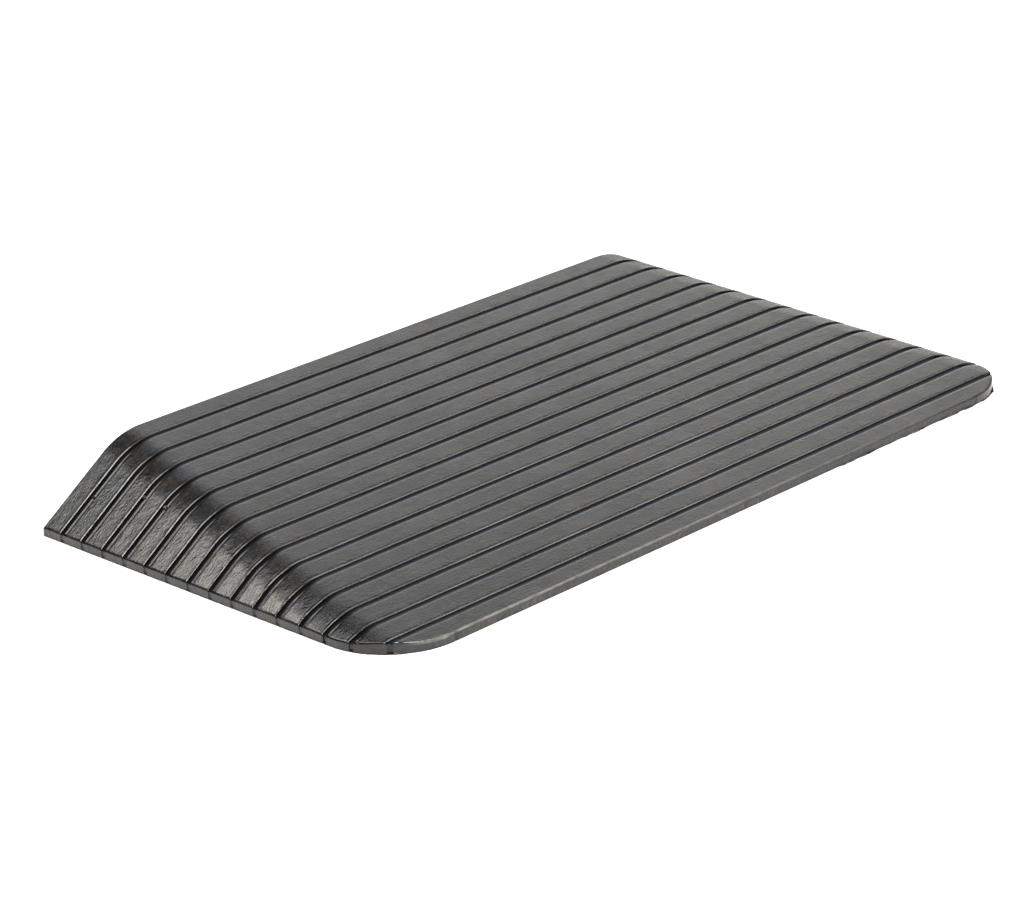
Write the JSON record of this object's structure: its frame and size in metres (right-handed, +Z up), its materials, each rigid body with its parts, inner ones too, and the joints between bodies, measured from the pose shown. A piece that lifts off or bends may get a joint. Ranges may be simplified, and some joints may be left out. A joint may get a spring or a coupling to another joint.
{
  "type": "threshold ramp",
  "caption": "Solid rubber wedge with flared sides, rounded front corners and grip grooves across the tread, laid against a door step so that wheels can roll over it.",
  "frame": {"origin": "centre of the footprint's bounding box, on the ground", "axes": "+X along the width to the right when seen from the approach, +Y from the front lip to the back face, +Z up"},
  "size_m": [0.88, 0.47, 0.075],
  "materials": {
    "cover_rubber": "satin moulded black rubber",
    "crumb_rubber": "coarse pressed rubber crumb"
  },
  "bodies": {
    "root": {"tread_cover": "cover_rubber", "crumb_core": "crumb_rubber"}
  },
  "joints": []
}
